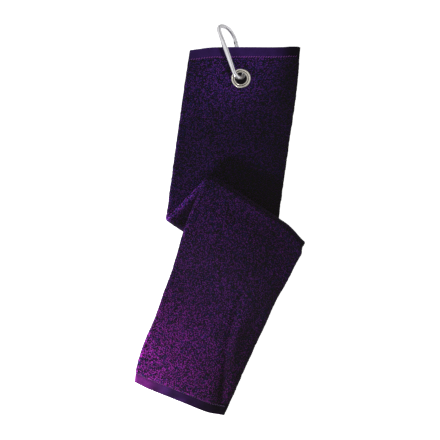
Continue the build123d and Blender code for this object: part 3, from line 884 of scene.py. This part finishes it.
lower_rows = np.concatenate([[1 - 0.0045], 1 + HEM_DEPTH - upper_rows[:-1][::-1]])
lower_grid, _, lower_dist, lower_to_end = lower_surface(lower_rows)
lower_thick = hem_thickness(lower_to_end, shift=1.2)
build_hem("towel_hem_lower", lower_grid, lower_thick, lower_dist, "towel_bottom",
          "bottom_hem_band", LOWER_SHADE, upper=False)


# ------------------------------------------------------------------ stitches
STITCH_R, STITCH_SAG = 0.47, 0.55
STITCH_MARGIN = 3.4        # from the cloth's side edges to the ends of the row


def stitch(centre, along_v, up_v, length):
    """A short thread that dips into the cloth at both ends."""
    rings, sides = 9, 8
    side = unit(np.cross(up_v, along_v))
    verts, faces = [], []
    for i in range(rings):
        t = i / (rings - 1) * 2 - 1
        point = centre + along_v * (t * length / 2) + up_v * (STITCH_R * 0.9 - STITCH_SAG * t ** 2)
        radius = STITCH_R * math.sqrt(max(0.05, 1 - abs(t) ** 5))
        radius *= 1 + 0.10 * math.cos(7 * t)
        tangent = unit(along_v * (length / 2) - up_v * (2 * STITCH_SAG * t))
        up = unit(np.cross(tangent, side))
        for k in range(sides):
            a = 2 * math.pi * k / sides
            verts.append(point + side * (radius * math.cos(a)) + up * (radius * math.sin(a)))
    for i in range(rings - 1):
        for k in range(sides):
            a, b = i * sides + k, i * sides + (k + 1) % sides
            faces.append([a, b, b + sides, a + sides])
    faces.append(list(range(sides))[::-1])
    faces.append([(rings - 1) * sides + k for k in range(sides)])
    return np.array(verts), faces


def stitch_row(name, grid, thick, from_edge, count, body, node, seed, material, lean):
    """Slanted stitches along the stitch line, on the front and then on the back."""
    random = np.random.default_rng(seed)
    across = np.gradient(grid, axis=1)
    normals = unit(np.cross(np.gradient(grid, axis=0), across))
    row_length = WIDTH - 2 * STITCH_MARGIN
    verts, faces, base = [], [], 0
    for side in (1, -1):
        for i in range(count):
            x = STITCH_MARGIN + row_length * (i + 0.5) / count + random.normal(0, 0.07)
            if side < 0 and x > WIDTH - 5:       # the back ends short of the right edge
                continue
            column = x / WIDTH * (COLUMNS - 1)
            i0 = min(int(column), COLUMNS - 2)
            line = lerp(grid[:, i0], grid[:, i0 + 1], column - i0)
            line_dist = lerp(from_edge[:, i0], from_edge[:, i0 + 1], column - i0)
            order = np.argsort(line_dist)
            point = np.array([np.interp(STITCH_LINE, line_dist[order], line[order, k])
                              for k in range(3)])
            j = int(np.argmin(abs(line_dist - STITCH_LINE)))
            normal = normals[j, i0] * side
            lateral = unit(across[j, i0])
            slant = side * lean * (0.62 + random.normal(0, 0.07))
            direction = unit(lateral + np.cross(normal, lateral) * slant)
            length = row_length / count * (0.86 + random.normal(0, 0.03))
            centre = point + normal * (thick[j, i0] / 2 - 0.02)
            new_verts, new_faces = stitch(centre, direction, normal, length)
            verts.append(new_verts)
            faces += [[base + a for a in face] for face in new_faces]
            base += len(new_verts)
    ob = mesh_object(name, np.concatenate(verts), faces, material)
    attach(ob, body, node)


stitch_row("stitches_upper", upper_grid, upper_thick, upper_dist, count=43, body="towel_top",
           node="top_hem_stitching", seed=91, material=THREAD, lean=1.0)
stitch_row("stitches_lower", lower_grid, lower_thick, lower_to_end, count=39,
           body="towel_bottom", node="bottom_hem_stitching", seed=92, material=THREAD_PAINTED_SHADE,
           lean=-1.0)


# ------------------------------------------------------------------ metal
def finish_metal(node, material):
    """Polishes a CAD solid as it stands."""
    ob = frame["nodes"][node]
    mesh = ob.data
    mesh.materials.clear()
    mesh.materials.append(material)
    mesh.polygons.foreach_set("material_index", [0] * len(mesh.polygons))
    mesh.polygons.foreach_set("use_smooth", [True] * len(mesh.polygons))
    weld = ob.modifiers.new("weld", "WELD")
    weld.merge_threshold = 2e-6
    split = ob.modifiers.new("crease", "EDGE_SPLIT")
    split.split_angle = math.radians(34)


def smooth_curve(points, per=5):
    """Catmull-Rom through the points."""
    points = np.array([points[0]] + points + [points[-1]])
    out = []
    for a, b, c, d in zip(points, points[1:], points[2:], points[3:]):
        for j in range(per):
            u = j / per
            out.append(0.5 * (2 * b + (c - a) * u + (2 * a - 5 * b + 4 * c - d) * u * u
                              + (3 * b - a - 3 * c + d) * u ** 3))
    out.append(points[-1])
    return np.array(out)


# Radius, height, painted shade
EYELET_FLANGE = [
    (EYE_R - 0.25, WEB_TOP - 0.05, 0.3), (EYE_R, WEB_TOP + 0.28, 0),
    (EYE_R - 0.35, WEB_TOP + 0.80, 0), (EYE_R - 1.2, WEB_TOP + 1.12, 0),
    (EYE_R - 2.1, WEB_TOP + 0.78, 0), (EYE_R - 2.45, WEB_TOP + 0.30, 0.9),
    (EYE_R - 2.75, WEB_TOP + 0.26, 1.0), (EYE_R - 3.0, WEB_TOP + 0.62, 0.35),
    (EYE_R - 3.55, WEB_TOP + 1.16, 0), (EYE_R - 4.1, WEB_TOP + 1.10, 0),
    (EYE_R - 4.45, WEB_TOP + 0.55, 0), (7.26, WEB_TOP - 0.4, 0.1)]
EYELET_BARREL = [
    (7.26, WEB_TOP - 1.6, 0.4), (7.26, EYE_BASE + 0.55, 0.6), (7.45, EYE_BASE + 0.02, 0.4),
    (8.0, EYE_BASE, 0.2), (8.4, EYE_BASE + 0.25, 0), (8.0, EYE_BASE + 0.6, 0),
    (7.78, EYE_BASE + 1.2, 0.5), (7.78, WEB_TOP - 0.3, 0.5), (8.4, WEB_TOP - 0.06, 0.5)]


def build_eyelet():
    """The profile turned about the grommet's vertical axis."""
    sides = 96
    profile = np.concatenate([smooth_curve(EYELET_FLANGE), EYELET_BARREL])
    count = len(profile)
    verts, faces = [], []
    for i in range(sides):
        a = 2 * math.pi * i / sides
        following = (i + 1) % sides * count
        for k, (radius, z, _) in enumerate(profile):
            verts.append((GROMMET[0] + radius * math.cos(a), GROMMET[1] + radius * math.sin(a), z))
            k_next = (k + 1) % count
            faces.append((i * count + k, following + k, following + k_next, i * count + k_next))
    # painted shade in the groove between the rings and inside the barrel
    painted_recess_shade = np.tile(np.clip(profile[:, 2], 0, 1), sides)
    ob = mesh_object("eyelet", verts, faces, EYELET, {"painted_recess_shade": painted_recess_shade})
    attach(ob, "towel_top", "grommet_eyelet")


finish_metal("grommet_washer", EYELET)
build_eyelet()
for node in ("hook_frame", "gate"):
    finish_metal(node, CHROME)
for node in ("gate_rivet", "latch_pin", "spring_plunger", "gate_spring"):
    finish_metal(node, PIN)


# ------------------------------------------------------------------ floor, metres
def floor_material():
    """White and glowing, except for a painted shadow under the grommet."""
    m = Material("floor")
    spot = m.node("ShaderNodeVectorMath",
                  {0: m.position(), 1: (GROMMET[0] * MM, GROMMET[1] * MM, 0)},
                  operation="DISTANCE").outputs["Value"]
    # painted shadow: dark and without glow within 12 mm of the grommet, fading out by 20 mm
    outside_painted_shadow = m.remap(spot, span=(0.012, 0.020), to=(0, 1))
    rays = m.node("ShaderNodeLightPath")
    # full glow to the camera, part of it to reflections, a little to everything
    glow = m.calc("ADD", rays.outputs["Is Camera Ray"],
                  m.calc("MULTIPLY", rays.outputs["Is Glossy Ray"], 0.45))
    glow = m.calc("ADD", glow, 0.10)
    m.surface({"Base Color": m.mix(outside_painted_shadow, (0.10, 0.09, 0.11, 1), (0.93, 0.93, 0.93, 1)),
               "Roughness": 0.9, "Specular IOR Level": 0.1, "Emission Color": (1, 1, 1, 1),
               "Emission Strength": m.calc("MULTIPLY", outside_painted_shadow, glow)})
    return m.material


def build_floor():
    half, z = 2.4, -0.0003
    material = floor_material()
    mesh = bpy.data.meshes.new("floor")
    mesh.from_pydata([(-half, -half, z), (half, -half, z), (half, half, z), (-half, half, z)],
                     [], [(0, 1, 2, 3)])
    floor = bpy.data.objects.new("floor", mesh)
    mesh.materials.append(material)
    scene.collection.objects.link(floor)
    floor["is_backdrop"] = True


build_floor()


# ------------------------------------------------------------------ lights
def add_light(name, kind, at, look, **settings):
    light = bpy.data.lights.new(name, kind)
    for key, value in settings.items():
        setattr(light, key, value)
    ob = bpy.data.objects.new(name, light)
    ob.location = at
    ob.rotation_euler = (Vector(look) - Vector(at)).to_track_quat("-Z", "Y").to_euler()
    scene.collection.objects.link(ob)
    return ob


near_key = add_light("near_key", "AREA", at=(-0.215, -0.255, 0.095), look=(-0.09, -0.165, 0.0),
                     shape="DISK", size=0.10, energy=0.50)
near_key.visible_camera = False
near_key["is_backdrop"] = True
key = add_light("key", "SPOT", at=(-1.08, -1.10, 0.66), look=(-0.03, -0.135, 0.0), energy=106.0,
                spot_size=math.radians(20.0), spot_blend=1.0, shadow_soft_size=0.075)
key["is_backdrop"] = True
key.visible_glossy = False
side_light = add_light("side_light", "SPOT", at=(0.40, 0.235, 0.40), look=(0.005, 0.190, 0.015),
                       energy=9.0, spot_size=math.radians(15.0), spot_blend=1.0,
                       shadow_soft_size=0.010)
side_light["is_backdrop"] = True
side_light.visible_glossy = False


# ------------------------------------------------------------------ world
# Brightness seen in reflections: place from -X (0) to +X (1), value
REFLECTION_BANDS = [(0.0, 1.0), (0.30, 0.96), (0.44, 0.84), (0.54, 0.68),
                    (0.60, 0.06), (0.66, 0.06), (0.73, 0.76), (1.0, 0.92)]
AMBIENT = 0.048


def build_world():
    """Soft surroundings: dim as light, banded in polished metal, white to the camera."""
    world = bpy.data.worlds.new("studio")
    scene.world = world
    world.use_nodes = True
    nodes, link = world.node_tree.nodes, world.node_tree.links.new
    background = nodes["Background"]
    rays = nodes.new("ShaderNodeLightPath")
    direction = nodes.new("ShaderNodeTexCoord")
    parts = nodes.new("ShaderNodeSeparateXYZ")
    link(direction.outputs["Generated"], parts.inputs[0])
    bands = nodes.new("ShaderNodeValToRGB")
    bands.color_ramp.interpolation = "EASE"
    elements = bands.color_ramp.elements
    while len(elements) < len(REFLECTION_BANDS):
        elements.new(0.5)
    for element, (place, value) in zip(elements, REFLECTION_BANDS):
        element.position = place
        element.color = (value, value, value, 1)
    left_to_right = nodes.new("ShaderNodeMapRange")
    left_to_right.inputs["From Min"].default_value = -1.0
    left_to_right.inputs["From Max"].default_value = 1.0
    link(parts.outputs[0], left_to_right.inputs[0])
    link(left_to_right.outputs[0], bands.inputs[0])
    strength = nodes.new("ShaderNodeMix")
    strength.inputs[2].default_value = AMBIENT
    link(rays.outputs["Is Glossy Ray"], strength.inputs[0])
    link(bands.outputs[0], strength.inputs[3])
    seen = nodes.new("ShaderNodeMath")
    seen.operation = "MAXIMUM"
    link(strength.outputs[0], seen.inputs[0])
    link(rays.outputs["Is Camera Ray"], seen.inputs[1])
    link(seen.outputs[0], background.inputs[1])
    background.inputs[0].default_value = (1, 1, 1, 1)


build_world()

# ------------------------------------------------------------------ camera, looking straight down
LENS, SENSOR = 100.0, 36.0
VIEW_WIDTH = 0.539         # seen at the focus height, metres
FOCUS_Z = 0.008

camera = bpy.data.cameras.new("camera")
camera.lens, camera.sensor_width = LENS, SENSOR
camera.clip_end = 20
camera_ob = bpy.data.objects.new("camera", camera)
camera_ob.location = (0.0, 0.0, VIEW_WIDTH * LENS / SENSOR + FOCUS_Z)
scene.collection.objects.link(camera_ob)
camera_ob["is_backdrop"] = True
scene.camera = camera_ob
scene.view_settings.view_transform = "Standard"
scene.view_settings.look = "None"

# ------------------------------------------------------------------ sizes, and out
VISUAL_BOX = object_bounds()


def plain(b):
    return json.loads(json.dumps(b, default=lambda o: list(o)))


{"cad": plain(CAD_BOX), "visual": plain(VISUAL_BOX)}
